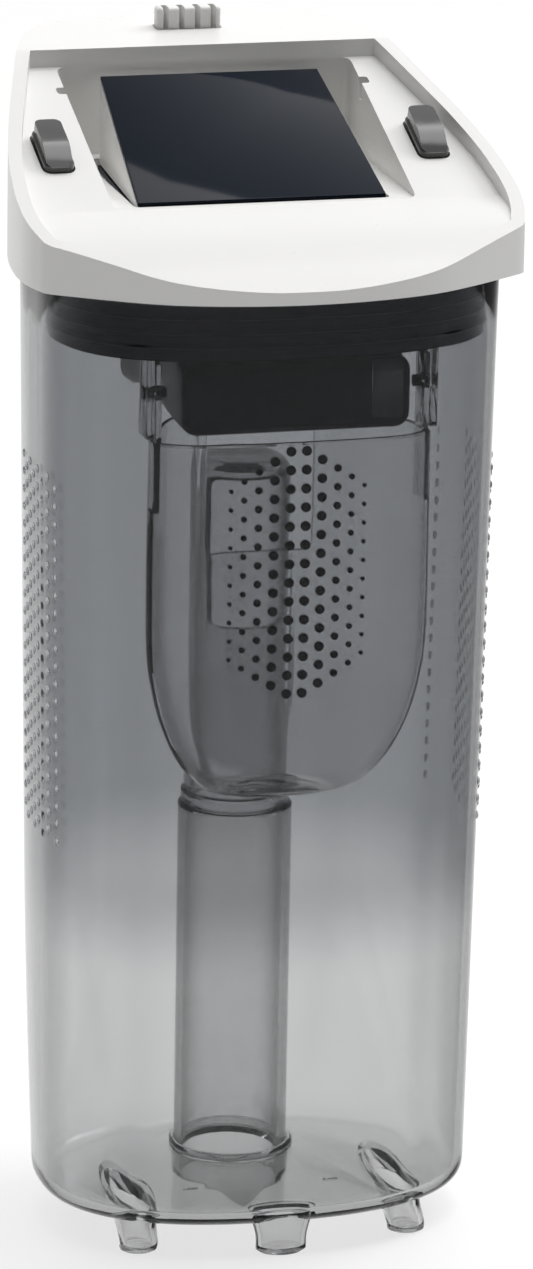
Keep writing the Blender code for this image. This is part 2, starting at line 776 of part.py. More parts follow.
def filter_seal():
    low, high = SOCKET_FLOOR + GAP, WEDGE_FOOT - GAP
    seal = wedge("filter_seal", -0.3, low, high, high)
    return cut(seal, wedge("seal_hollow", 4.0, low - 5, high + 5, high + 5))


# ---- assembly ---------------------------------------------------------------


def build():
    clear_plastic = material("smoky clear plastic", (0.50, 0.51, 0.52), 0.12, 0.35)
    white = material("white gloss plastic", (0.86, 0.86, 0.85), 0.30)
    black = material("black plastic", (0.015, 0.018, 0.025), 0.35)
    grey = material("dark grey gloss plastic", (0.09, 0.09, 0.09), 0.18)
    panel_look = material("dark glossy panel", (0.012, 0.017, 0.026), 0.08)
    rubber = material("black rubber", (0.012, 0.015, 0.022), 0.60)
    silicone = material("clear silicone", (0.55, 0.55, 0.54), 0.35, 0.5)
    paper = material("pleated filter paper", (0.72, 0.72, 0.68), 0.90)
    foam = material("pale float foam", (0.62, 0.62, 0.60), 0.80)
    steel = material("spring steel", (0.55, 0.55, 0.56), 0.30)
    steel.node_tree.nodes["Principled BSDF"].inputs["Metallic"].default_value = 1.0

    paint(tank_body(), clear_plastic)
    paint(riser_pipe(), clear_plastic)
    paint(upper_pipe(), clear_plastic)
    paint(joint_seal(), silicone)
    paint(strainer_cup(), clear_plastic)
    paint(strainer_screen(), clear_plastic)
    paint(lid_shell(), white)
    paint(lid_base(), black)
    paint(lid_seal(), rubber)
    paint(float_chamber(), black)
    paint(chamber_window(), clear_plastic)
    paint(float_block(), foam)
    paint(filter_frame(), white)
    paint(filter_panel(), panel_look)
    paint(filter_media(), paper)
    paint(filter_seal(), rubber)
    paint(release_tab(), white)
    tab_seat = (0, (TAB_FRONT + TAB_BACK) / 2, TAB_SEAT + 0.8)
    paint(spring("tab_spring", tab_seat, 1.8, 9.0, Matrix()), steel)
    for side, mirror in (("right", 1), ("left", -1)):
        paint(button(f"button_{side}", mirror), grey)
        seat = (0, 0, GAP + 0.5 - POCKET_DEPTH)
        coil = spring(f"button_spring_{side}", seat, 3.2, 6.0, arm_frame(mirror))
        paint(coil, steel)
        paint(latch(f"latch_{side}", mirror), black)
        paint(cup_pin(f"cup_pin_{side}", mirror), black)
        paint(cup_hanger(f"cup_hanger_{side}", mirror), clear_plastic)
    for index, (x, y) in enumerate(SCREWS, start=1):
        paint(screw(index, x, y), steel)


clear_scene()
parts = new_collection("waste_water_tank")
cutters = new_collection("cutters")
build()
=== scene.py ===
"""Looks of the waste water tank: fine shells, materials, lights and a camera.

Lengths are millimetres until they reach Blender, which gets metres. X is to the right,
Y to the back, Z up. Pieces are placed by what `span`, `corner_box`, `outline` and
`meets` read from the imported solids, so each sits where the frame has it.
"""

import json
import math

import bmesh
import bpy
import numpy as np
from mathutils import Matrix, Vector
from mathutils.bvhtree import BVHTree
from mathutils.geometry import convex_hull_2d


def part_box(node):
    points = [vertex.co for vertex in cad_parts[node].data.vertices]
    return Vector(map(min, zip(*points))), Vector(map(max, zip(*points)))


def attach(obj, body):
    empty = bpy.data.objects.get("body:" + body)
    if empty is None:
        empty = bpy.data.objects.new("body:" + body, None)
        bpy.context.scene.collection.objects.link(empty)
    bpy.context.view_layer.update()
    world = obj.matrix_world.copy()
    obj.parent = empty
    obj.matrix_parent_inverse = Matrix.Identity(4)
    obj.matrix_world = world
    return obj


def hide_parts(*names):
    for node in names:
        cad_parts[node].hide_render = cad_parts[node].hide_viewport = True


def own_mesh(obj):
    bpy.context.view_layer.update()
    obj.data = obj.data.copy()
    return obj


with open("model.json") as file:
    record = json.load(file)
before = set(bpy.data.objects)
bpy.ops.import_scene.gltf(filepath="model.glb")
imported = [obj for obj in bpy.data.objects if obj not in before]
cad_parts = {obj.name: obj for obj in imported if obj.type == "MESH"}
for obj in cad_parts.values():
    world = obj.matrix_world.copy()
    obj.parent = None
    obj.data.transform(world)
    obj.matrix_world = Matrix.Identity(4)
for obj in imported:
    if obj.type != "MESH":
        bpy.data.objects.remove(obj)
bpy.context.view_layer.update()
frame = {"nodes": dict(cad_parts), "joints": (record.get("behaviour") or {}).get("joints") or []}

MM = 0.001
UP, DOWN = Vector((0, 0, 1)), Vector((0, 0, -1))
RIGHT, BACK = Vector((1, 0, 0)), Vector((0, 1, 0))
OUTSIDE, OVERHEAD = 80, 330  # an X and a height clear of the whole object

LOOP = 144  # points round a large outline
WHOLE_RING = 48  # fewest points in a lofted node's ring
LEVEL = 0.05  # points no further apart than this are at one height

WALL = 2.2  # of the tank
CORNER_GAIN = 0.7  # how much thicker it is down its four corners
CORNERS = (50, 130, 228, 312)  # their bearings, in degrees from the right
CORNER_SPREAD = 4.5  # and how far they reach, in degrees
FLOOR_UNDER, FLOOR_TOP = 8.0, 10.4  # of the tank's floor
FOOT_TOP = 11.4
POCKET_FLOOR = 1.6  # of the feet, which are hollow from above

CUP_WALL = 1.6
BOX_WALL = 1.6  # of the float chamber
RIM = 3.5  # of the lid
SHELL = 2.4  # the lid's own walls
GAP = 0.3  # between pieces that slide or plug together
ARM_X = 42  # a place on the lid's sloping arm, beside the filter's bay

nodes = frame["nodes"]
trees = {}


# ---- reading the frame --------------------------------------------------------


def span(node):
    """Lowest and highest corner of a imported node."""
    low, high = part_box(node)
    return low / MM, high / MM


def points(node):
    return np.array([v.co for v in nodes[node].data.vertices]) / MM


def axis_of(node):
    """X and Y of the middle of a node's box."""
    low, high = span(node)
    return (low.x + high.x) / 2, (low.y + high.y) / 2


def corner_box(node, wanted):
    """Lowest and highest corner of those points of a node that `wanted(x, y, z)` picks."""
    picked = np.array([p for p in points(node) if wanted(*p)])
    return Vector(picked.min(0)), Vector(picked.max(0))


def meets(node, start, way):
    """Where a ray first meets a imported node."""
    if node not in trees:
        mesh = nodes[node].data
        corners = [v.co / MM for v in mesh.vertices]
        trees[node] = BVHTree.FromPolygons(corners, [p.vertices for p in mesh.polygons])
    return trees[node].ray_cast(Vector(start), Vector(way))[0]


def ring_heights(node, narrowest):
    """Heights at which a lofted node has a whole ring of points, at least so wide."""
    unique = np.unique(np.round(points(node), 2), axis=0)
    rings = {z: unique[unique[:, 2] == z] for z in sorted(set(unique[:, 2]))}
    return [
        z for z, ring in rings.items()
        if len(ring) >= WHOLE_RING and np.ptp(ring[:, 0]) >= narrowest
    ]


def smooth(knots, steps, closed=False):
    """A smooth run through the knots, which may be points or whole rings of points."""
    knots = np.array(knots, float)
    last = len(knots) - 1
    made = []
    for k in range(len(knots) if closed else last):
        near = [k - 1, k, k + 1, k + 2]
        near = [n % len(knots) for n in near] if closed else [min(max(n, 0), last) for n in near]
        a, b, c, d = knots[near]
        for t in np.arange(steps) / steps:
            made.append(
                0.5 * (2 * b + (c - a) * t + (2 * a - 5 * b + 4 * c - d) * t**2)
                + 0.5 * (3 * b - a - 3 * c + d) * t**3
            )
    return np.array(made if closed else made + [knots[-1]])


def outline(node, z, count=LOOP):
    """A node's outer outline at a height, smoothed and spread evenly by angle."""
    flat = [Vector(p[:2]) for p in points(node) if abs(p[2] - z) < LEVEL]
    loop = smooth([flat[i] for i in convex_hull_2d(flat)], 6, closed=True)
    low, high = span(node)
    middle = np.array(axis_of(node))
    away = loop - middle
    turns = np.arctan2(away[:, 1], away[:, 0])
    wanted = math.tau * (np.arange(count) + 0.5) / count
    reach = np.interp(wanted, turns, np.hypot(*away.T), period=math.tau)
    spread = middle + reach[:, None] * np.column_stack((np.cos(wanted), np.sin(wanted)))
    return np.clip(spread, tuple(low.xy), tuple(high.xy))


def inset(loop, distance):
    """Move a counter-clockwise loop inwards, square to its own line."""
    along = np.roll(loop, -1, 0) - np.roll(loop, 1, 0)
    along /= np.linalg.norm(along, axis=1)[:, None]
    return loop + distance * np.column_stack((-along[:, 1], along[:, 0]))


def at_height(loop, z):
    return np.column_stack((loop, np.full(len(loop), z)))


# ---- making shapes ------------------------------------------------------------


def loft(rings, ring_shaped=False):
    """Skin matching rings of points: capped at both ends, or joined last to first."""
    shape = bmesh.new()
    loops = [[shape.verts.new(point) for point in ring] for ring in rings]
    pairs = list(zip(loops, loops[1:]))
    if ring_shaped:
        pairs.append((loops[-1], loops[0]))
    else:
        shape.faces.new(reversed(loops[0]))
        shape.faces.new(loops[-1])
    for lower, upper in pairs:
        for i in range(len(lower)):
            j = (i + 1) % len(lower)
            shape.faces.new((lower[i], lower[j], upper[j], upper[i]))
    bmesh.ops.recalc_face_normals(shape, faces=shape.faces)
    return shape


def prism(loop, low, high):
    return loft([at_height(loop, low), at_height(loop, high)])


def side_prism(profile, half_width):
    """A solid with the (y, z) profile that runs across X."""
    return loft([[(x, y, z) for y, z in profile] for x in (-half_width, half_width)])


def circle(radius, count=96):
    turns = math.tau * np.arange(count) / count
    return radius * np.column_stack((np.cos(turns), np.sin(turns)))


def turned(profile, centre, count=96, hollow=True):
    """A solid of revolution about an upright line, from (radius, z) points."""
    rings = [at_height(circle(r, count) + np.array(centre), z) for r, z in profile]
    return loft(rings, ring_shaped=hollow)


def block(low, high, rounding=0.0, segments=4, upright_only=False):
    """A box, with all its edges rounded or only the upright ones."""
    shape = bmesh.new()
    size = [b - a for a, b in zip(low, high)]
    middle = [(a + b) / 2 for a, b in zip(low, high)]
    place = Matrix.Translation(middle) @ Matrix.Diagonal((*size, 1.0))
    bmesh.ops.create_cube(shape, size=1.0, matrix=place)
    if rounding:
        picked = [
            e for e in shape.edges
            if not upright_only or abs((e.verts[0].co - e.verts[1].co).normalized().z) > 0.9
        ]
        bmesh.ops.bevel(
            shape, geom=picked, offset=rounding, segments=segments, profile=0.5, affect="EDGES"
        )
    return shape


def mirrored(low, high, side):
    """A block's corners, flipped to the left side when side is -1."""
    if side > 0:
        return low, high
    return (-high[0], low[1], low[2]), (-low[0], high[1], high[2])


def gather(shapes):
    """Several separate shapes as one."""
    whole = bmesh.new()
    for shape in shapes:
        mesh = bpy.data.meshes.new("step")
        shape.to_mesh(mesh)
        shape.free()
        whole.from_mesh(mesh)
        bpy.data.meshes.remove(mesh)
    return whole


def combine(shape, tool, operation):
    """The Boolean of two closed shapes."""
    pair = []
    for part in (shape, tool):
        bmesh.ops.recalc_face_normals(part, faces=part.faces)
        mesh = bpy.data.meshes.new("step")
        part.to_mesh(mesh)
        part.free()
        thing = bpy.data.objects.new("step", mesh)
        bpy.context.scene.collection.objects.link(thing)
        pair.append(thing)
    step = pair[0].modifiers.new("step", "BOOLEAN")
    step.operation = operation
    step.object = pair[1]
    made = bmesh.new()
    made.from_object(pair[0], bpy.context.evaluated_depsgraph_get())
    for thing in pair:
        bpy.data.objects.remove(thing)
    bmesh.ops.remove_doubles(made, verts=made.verts, dist=0.0005)
    return made


def cut(shape, tool):
    return combine(shape, tool, "DIFFERENCE")


def join(shape, tool):
    return combine(shape, tool, "UNION")


def round_edges(thing, width, segments=3, angle=35.0):
    """Round a piece's sharp edges with a bevel that keeps its flat faces flat."""
    step = thing.modifiers.new("Rounded edges", "BEVEL")
    step.width = width * MM
    step.segments = segments
    step.limit_method = "ANGLE"
    step.angle_limit = math.radians(angle)
    step.harden_normals = True


def piece(name, shape, look, body, replaces=(), crease=32.0):
    """Turn a shape into a shown piece that rides on a body."""
    bmesh.ops.scale(shape, verts=shape.verts, vec=(MM, MM, MM))
    bmesh.ops.recalc_face_normals(shape, faces=shape.faces)
    mesh = bpy.data.meshes.new(name)
    shape.to_mesh(mesh)
    shape.free()
    mesh.materials.append(look)
    mesh.shade_smooth()
    mesh.set_sharp_from_angle(angle=math.radians(crease))
    thing = bpy.data.objects.new(name, mesh)
    bpy.context.scene.collection.objects.link(thing)
    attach(thing, body)
    if replaces:
        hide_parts(*replaces)
    return thing


def finish_node(node, look, rounding=0.0):
    """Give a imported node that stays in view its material, and soften its edges."""
    thing = nodes[node]
    thing.data.materials.clear()
    thing.data.materials.append(look)
    thing.data.shade_smooth()
    thing.data.set_sharp_from_angle(angle=math.radians(32))
    if rounding:
        weld = thing.modifiers.new("Weld", "WELD")
        weld.merge_threshold = 0.00001
        round_edges(thing, rounding)


# ---- materials ----------------------------------------------------------------


def surface(name, colour, roughness, mottle=0.03, grain=600.0, bump=0.15, relief=0.05):
    """A moulded surface: its colour, gloss and height vary a little, at two scales.

    Mottle is the share by which the colour varies, grain the number of bumps per metre,
    and relief the height of the bumps in millimetres.
    """
    made = bpy.data.materials.new(name)
    made.use_nodes = True
    tree = made.node_tree
    shader = tree.nodes["Principled BSDF"]
    place = tree.nodes.new("ShaderNodeTexCoord")

    def noise(scale, detail):
        texture = tree.nodes.new("ShaderNodeTexNoise")
        texture.inputs["Scale"].default_value = scale
        texture.inputs["Detail"].default_value = detail
        tree.links.new(place.outputs["Object"], texture.inputs["Vector"])
        return texture.outputs["Fac"]

    broad, fine = noise(22.0, 3.0), noise(grain, 2.0)
    ramp = tree.nodes.new("ShaderNodeValToRGB")
    ramp.color_ramp.elements[0].position = 0.3
    ramp.color_ramp.elements[1].position = 0.7
    ramp.color_ramp.elements[0].color = (*[c * (1 - mottle) for c in colour], 1)
    ramp.color_ramp.elements[1].color = (*[min(1.0, c * (1 + mottle)) for c in colour], 1)
    tree.links.new(broad, ramp.inputs["Fac"])
    tree.links.new(ramp.outputs["Color"], shader.inputs["Base Color"])

    spread = tree.nodes.new("ShaderNodeMapRange")
    spread.inputs["To Min"].default_value = roughness * 0.8
    spread.inputs["To Max"].default_value = roughness * 1.25
    tree.links.new(fine, spread.inputs["Value"])
    tree.links.new(spread.outputs["Result"], shader.inputs["Roughness"])

    height = tree.nodes.new("ShaderNodeBump")
    height.inputs["Strength"].default_value = bump
    height.inputs["Distance"].default_value = relief * MM
    tree.links.new(fine, height.inputs["Height"])
    tree.links.new(height.outputs["Normal"], shader.inputs["Normal"])
    return made


def set_range(node, low, high, start, end):
    """Make a Map Range node take low to high into start to end, smoothly."""
    node.interpolation_type = "SMOOTHSTEP"
    sockets = ("From Min", "From Max", "To Min", "To Max")
    for socket, value in zip(sockets, (low, high, start, end)):
        node.inputs[socket].default_value = value


def tune(look, **values):
    """Set plain sockets of a material's shader."""
    shader = look.node_tree.nodes["Principled BSDF"]
    for socket, value in values.items():
        shader.inputs[socket.replace("_", " ")].default_value = value


def smoky(name, tint_low, tint_high, density, fade=(62.0, 112.0), edge=(0.3, 0.95, 0.45)):
    """Clear smoke-grey moulding: refracts, darkens with thickness and at grazing angles.

    Its tint goes from the low to the high one between the fade's two heights. Edge
    gives the facing values between which the tint falls, and the share it falls to.
    """
    made = surface(name, tint_high, 0.03, 0.0, 260.0, 0.12, 0.012)
    tune(made, Transmission_Weight=1.0, IOR=1.5)
    tree = made.node_tree
    shader = tree.nodes["Principled BSDF"]
    place = next(n for n in tree.nodes if n.type == "TEX_COORD")
    axes = tree.nodes.new("ShaderNodeSeparateXYZ")
    tree.links.new(place.outputs["Object"], axes.inputs[0])
    climb = tree.nodes.new("ShaderNodeMapRange")
    set_range(climb, fade[0] * MM, fade[1] * MM, 0.0, 1.0)
    tree.links.new(axes.outputs["Z"], climb.inputs["Value"])
    ramp = next(n for n in tree.nodes if n.type == "VALTORGB")
    ramp.color_ramp.elements[0].position = 0.0
    ramp.color_ramp.elements[1].position = 1.0
    ramp.color_ramp.elements[0].color = (*tint_low, 1)
    ramp.color_ramp.elements[1].color = (*tint_high, 1)
    tree.links.new(climb.outputs["Result"], ramp.inputs["Fac"])
    facing = tree.nodes.new("ShaderNodeLayerWeight")
    darker = tree.nodes.new("ShaderNodeMapRange")
    set_range(darker, *edge[:2], 1.0, edge[2])
    tree.links.new(facing.outputs["Facing"], darker.inputs["Value"])
    product = tree.nodes.new("ShaderNodeVectorMath")
    product.operation = "SCALE"
    tree.links.new(ramp.outputs["Color"], product.inputs[0])
    tree.links.new(darker.outputs["Result"], product.inputs["Scale"])
    tree.links.new(product.outputs[0], shader.inputs["Base Color"])
    soak = tree.nodes.new("ShaderNodeVolumeAbsorption")
    soak.inputs["Color"].default_value = (0.36, 0.37, 0.38, 1)
    soak.inputs["Density"].default_value = density
    tree.links.new(soak.outputs[0], tree.nodes["Material Output"].inputs["Volume"])
    return made


def grey(level):
    return (level, level, level)


TANK_LOOK = smoky("smoky_tank", grey(0.87), (0.54, 0.55, 0.565), 110.0, fade=(72.0, 100.0))
PIPE_LOOK = smoky("smoky_pipe", grey(0.97), grey(0.92), 130.0, edge=(0.12, 0.7, 0.4))
CUP_LOOK = smoky("smoky_cup", grey(0.97), grey(0.97), 70.0)
WHITE = surface("white_shell", (0.84, 0.835, 0.82), 0.30, 0.012, 900.0, 0.10, 0.02)
BLACK = surface("black_plastic", (0.003, 0.004, 0.006), 0.22)
GREY = surface("grey_button", grey(0.060), 0.14, 0.05, 700.0, 0.05, 0.02)
PANEL = surface("dark_panel", (0.006, 0.010, 0.018), 0.07, 0.10, 300.0, 0.02, 0.01)
RUBBER = surface("black_rubber", (0.003, 0.006, 0.013), 0.34, 0.15, 1100.0, 0.3, 0.05)
DOT = surface("black_dots", grey(0.002), 0.5, 0.1)
PAPER = surface("filter_paper", (0.70, 0.70, 0.65), 0.9, 0.08, 1500.0, 0.5, 0.10)
FOAM = surface("float_foam", (0.60, 0.60, 0.57), 0.85, 0.10, 900.0, 0.8, 0.30)
STEEL = surface("spring_steel", (0.55, 0.55, 0.56), 0.28, 0.06, 900.0, 0.1, 0.02)
tune(BLACK, Specular_IOR_Level=0.1)
tune(PANEL, Specular_IOR_Level=0.07)
tune(RUBBER, Specular_IOR_Level=0.15)
tune(DOT, Specular_IOR_Level=0.1)
tune(STEEL, Metallic=1.0)


# ---- tank and riser -----------------------------------------------------------


def foot(side, grow=0.0, low=0.0):
    """A leg that widens into a long pocket in the floor; side 0 is the short front one.

    With a negative `grow` it is the hollow inside that leg, from the height `low` up.
    """
    # Each knot is a height, half width, half depth, and how far back the middle moves.
    if side:
        bottom = corner_box("tank_body", lambda x, y, z: z < LEVEL and x * side > 20)
        knots = [(0.0, 4.8, 4.6, 0.0), (3.0, 5.0, 5.6, 0.6), (FOOT_TOP, 5.6, 21.0, 15.1)]
    else:
        bottom = corner_box("tank_body", lambda x, y, z: z < LEVEL and abs(x) < 20 and y < -40)
        knots = [(0.0, 6.6, 4.4, 0.0), (5.0, 6.8, 4.6, 0.0), (FOOT_TOP, 8.8, 5.0, 0.4)]
    centre = (bottom[0] + bottom[1]) / 2
    drift = -0.8 * side  # inwards, over the whole height
    rings = []
    for z, half_x, half_y, back in smooth(knots, 4):
        middle = np.array((centre.x + drift * z / FOOT_TOP, centre.y + back))
        size = np.array((half_x + grow, half_y + grow))
        rings.append(at_height(circle(1.0, 40) * size + middle, max(z, low)))
    if low > 0:
        rings = [ring for ring in rings if ring[0][2] > low]
        rings.insert(0, rings[0] * (1, 1, 0) + (0, 0, low))
    else:
        sole = at_height((rings[0][:, :2] - centre.xy) * 0.86 + centre.xy, 0.0)
        rings[0][:, 2] = 0.7
        rings.insert(0, sole)
    return loft(rings)


def tank():
    """The clear tank. Returns where the riser stands in it, and the riser's bore."""
    axis = axis_of("riser_pipe")
    riser_low, riser_high = span("riser_pipe")
    radius = (riser_high.x - riser_low.x) / 2
    bore = meets("riser_pipe", (*axis, 60), RIGHT).x - axis[0]
    levels = [z for z in ring_heights("tank_body", 100) if z > FLOOR_TOP + 3]
    walls = smooth([at_height(outline("tank_body", z), z) for z in levels], 5)
    lowest, rim = levels[0], levels[-1]
    base, top = walls[0][:, :2], walls[-1][:, :2]

    rings = []
    fall = lowest - FLOOR_UNDER
    for turn in np.radians(np.arange(90, 0, -15)):
        ring = inset(base, fall * (1 - math.cos(turn)))
        rings.append(at_height(ring, lowest - fall * math.sin(turn)))
    rings += [ring for ring in walls if ring[0][2] < rim - 0.9]
    for distance, drop in ((0, 0.8), (0.25, 0.2), (0.8, 0), (1.4, 0), (1.95, 0.2)):
        rings.append(at_height(inset(top, distance), rim - drop))

    bearings = np.degrees(math.tau * (np.arange(LOOP) + 0.5) / LOOP)
    away = [(bearings - corner + 180) % 360 - 180 for corner in CORNERS]
    corners = sum(np.exp(-((turn / CORNER_SPREAD) ** 2)) for turn in away)
    for ring in reversed(walls):
        z = ring[0][2]
        if lowest + 0.8 < z < rim - 0.9:
            fade = min(1.0, (z - lowest) / 12, (rim - z) / 20)
            thick = WALL + CORNER_GAIN * fade * corners[:, None]
            rings.append(at_height(inset(ring[:, :2], thick), z))
    fall = 4.0
    for turn in np.radians(np.arange(0, 91, 15)):
        ring = inset(base, WALL + fall * (1 - math.cos(turn)))
        rings.append(at_height(ring, FLOOR_TOP + fall * (1 - math.sin(turn))))
    shape = loft(rings)

    collar, socket = radius + 0.6, radius + 1.7
    spigot = [(radius, 0.0), (collar, 0.6), (collar, 9.0), (socket, 9.0), (socket, 11.6),
              (radius + 1.0, 12.4)]
    lugs = []
    for side in (1, -1):
        low, high = corner_box("tank_body", lambda x, y, z: z > rim + 1 and x * side > 0)
        lugs.append(block((low.x, low.y, rim - 3), high, 0.4, 2))
    spigot = turned(spigot, axis, hollow=False)
    shape = join(shape, gather([foot(1), foot(-1), foot(0), spigot, *lugs]))
    way_through = [(bore, -5.0), (bore, FLOOR_TOP), (radius + GAP, FLOOR_TOP),
                   (radius + GAP, 20.0)]
    pockets = [foot(side, -1.5, POCKET_FLOOR) for side in (1, -1, 0)]
    shape = cut(shape, gather([*pockets, turned(way_through, axis, hollow=False)]))
    piece("tank_shell", shape, TANK_LOOK, "tank", ["tank_body"])

    marks = [
        block((x - 1.9, -35.6, FLOOR_TOP + 0.02), (x + 1.9, -34.8, FLOOR_TOP + 0.4), 0.15, 2)
        for x in (-18.5, 18.5)
    ]
    piece("floor_marks", gather(marks), PIPE_LOOK, "tank")
    return axis, bore


def tube(node, bore):
    """Round pipe with softened ends, as fine as a lathe would leave it."""
    low, high = span(node)
    radius, soft = (high.x - low.x) / 2, 0.4
    profile = [
        (radius - soft, low.z), (radius, low.z + soft), (radius, high.z - soft),
        (radius - soft, high.z), (bore + soft, high.z), (bore, high.z - soft),
        (bore, low.z + soft), (bore + soft, low.z),
    ]
    return turned(profile, axis_of(node))


def capped_tube(node, bore):
    """The upper pipe: open below, with a closed top that curves in."""
    low, high = span(node)
    radius, soft, curve = (high.x - low.x) / 2, 0.4, 5.0
    profile = [(radius - soft, low.z), (radius, low.z + soft)]
    for turn in np.radians(np.arange(0, 91, 15)):
        across = radius - curve * (1 - math.cos(turn))
        profile.append((across, high.z - curve * (1 - math.sin(turn))))
    inside = [(bore, low.z - 5), (bore, high.z - 5.5), (bore - 1.2, high.z - 3),
              (bore - 3.4, high.z - 2)]
    axis = axis_of(node)
    return cut(turned(profile, axis, hollow=False), turned(inside, axis, hollow=False))


def pipes(axis, bore):
    piece("riser", tube("riser_pipe", bore), PIPE_LOOK, "tank", ["riser_pipe"])
    seal_bore = meets("joint_seal", (*axis, 106), RIGHT).x - axis[0]
    ring = tube("joint_seal", seal_bore)
    piece("joint_ring", ring, PIPE_LOOK, "tank", ["joint_seal"])

    # The mouth's corners, found from inside the pipe and from inside its front wall.
    height = 170
    half = meets("upper_pipe", Vector((*axis, height)) - 7 * BACK, RIGHT).x - axis[0]
    in_wall = Vector((axis[0], span("upper_pipe")[0].y + 1.2, height))
    sill, head = (meets("upper_pipe", in_wall, way).z for way in (DOWN, UP))
    mouth = block((axis[0] - half, -30, sill), (axis[0] + half, axis[1] - 3, head), 2.0, 4)
    upper = cut(capped_tube("upper_pipe", seal_bore), mouth)
    piece("spout_pipe", upper, PIPE_LOOK, "lid", ["upper_pipe"])


def grip_dots():
    """Staggered low domes on both sides of the tank, for wet hands."""
    pitch, radius, height, proud = 4.6, 1.15, 0.45, 0.12
    columns, rows, first_y, first_z = 8, 21, -37.0, 107.0
    for side, name in ((-1, "left"), (1, "right")):
        domes = []
        for column in range(columns):
            y = first_y + column * pitch * 0.866
            for row in range(rows):
                z = first_z + (row + 0.5 * (column % 2)) * pitch
                spot = meets("tank_body", (side * 100, y, z), (-side, 0, 0))
                ahead = meets("tank_body", (side * 100, y + 1, z), (-side, 0, 0))
                out = Vector(((ahead.y - spot.y), -(ahead.x - spot.x), 0)).normalized()
                out = out if out.x * side > 0 else -out
                turn = out.to_track_quat("Z", "Y").to_matrix().to_4x4()
                place = Matrix.Translation(spot + out * proud) @ turn
                domes.append(dome(place, radius, height))
        piece(f"grip_dots_{name}", gather(domes), TANK_LOOK, "tank")


def dome(place, radius, height, count=12):
    """A low lens with a flat base, on its own Z axis."""
    rings = [(radius, 0.0), (radius * 0.87, height * 0.5), (radius * 0.5, height * 0.87),
             (radius * 0.12, height)]
    shape = loft([at_height(circle(r, count), z) for r, z in rings])
    bmesh.ops.transform(shape, matrix=place, verts=shape.verts)
    return shape


# ---- strainer -----------------------------------------------------------------


def cup():
    """The strainer cup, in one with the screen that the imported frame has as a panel."""
    screen_low, screen_high = span("strainer_screen")
    levels = [
        z for z in ring_heights("strainer_cup", 15)
        if z < 216 and abs(z - screen_low.z) > 0.5 and abs(z - screen_high.z) > 0.5
    ]
    walls = smooth([at_height(outline("strainer_cup", z, 120), z) for z in levels], 5)
    top = levels[-1]
    rings = list(walls[:-1])
    for distance, z in ((0, top - 0.5), (0.5, top), (CUP_WALL - 0.5, top)):
        rings.append(at_height(inset(walls[-1][:, :2], distance), z))
    for ring in reversed(walls[2:]):
        z = max(ring[0][2], levels[0] + CUP_WALL)
        rings.append(at_height(inset(ring[:, :2], CUP_WALL), z))

    low, high = span("upper_pipe")
    notch = block((low.x - 0.8, -30, 176), (high.x + 0.8, 7, 230), 2.0, 3)
    shape = cut(loft(rings), notch)
    ears = []
    for side in (1, -1):
        low, high = corner_box("strainer_cup", lambda x, y, z: z > 224 and x * side > 0)
        ears.append(block((low.x, low.y, 196), high, 0.5, 2))
    shape = join(shape, gather(ears))

    pin_low, pin_high = span("cup_pin_right")
    middle = (pin_low + pin_high) / 2
    bore = turned([(1.9, -50.0), (1.9, 50.0)], (0, 0), 32, hollow=False)
    across = Matrix.Rotation(math.radians(90), 4, "Y")
    place = Matrix.Translation((0, middle.y, middle.z)) @ across
    bmesh.ops.transform(bore, matrix=place, verts=bore.verts)
    stands_for = ["strainer_cup", "strainer_screen"]
    piece("strainer_shell", cut(shape, bore), CUP_LOOK, "lid", stands_for)


def strainer_dots():
    """The perforations: ten columns of round black discs, smaller towards the sides."""
    middle, pitch = 180.6, 4.82
    # How far from the middle, how many and how wide, for each pair of columns.
    columns = ((2.0, 14, 2.5), (6.05, 13, 2.45), (10.05, 12, 1.9), (13.7, 11, 1.5), (17.0, 10, 1.1))
    low, high = span("strainer_screen")
    to_front = Matrix.Rotation(math.radians(90), 4, "X")
    dots = []
    for reach, count, width in columns:
        for x in (reach, -reach):
            for row in range(count):
                z = middle + (row - (count - 1) / 2) * pitch
                probe = (x, -100, min(max(z, low.z + 1), high.z - 1))
                front = meets("strainer_screen", probe, BACK)
                place = Matrix.Translation((x, front.y + 1.0, z)) @ to_front
                rings = [(width / 2, 0.0), (width / 2, 0.95), (width / 2 - 0.12, 1.12)]
                dot = loft([at_height(circle(r, 24), h) for r, h in rings])
                bmesh.ops.transform(dot, matrix=place, verts=dot.verts)
                dots.append(dot)
    piece("strainer_holes", gather(dots), DOT, "lid")


# ---- float chamber and seal ---------------------------------------------------


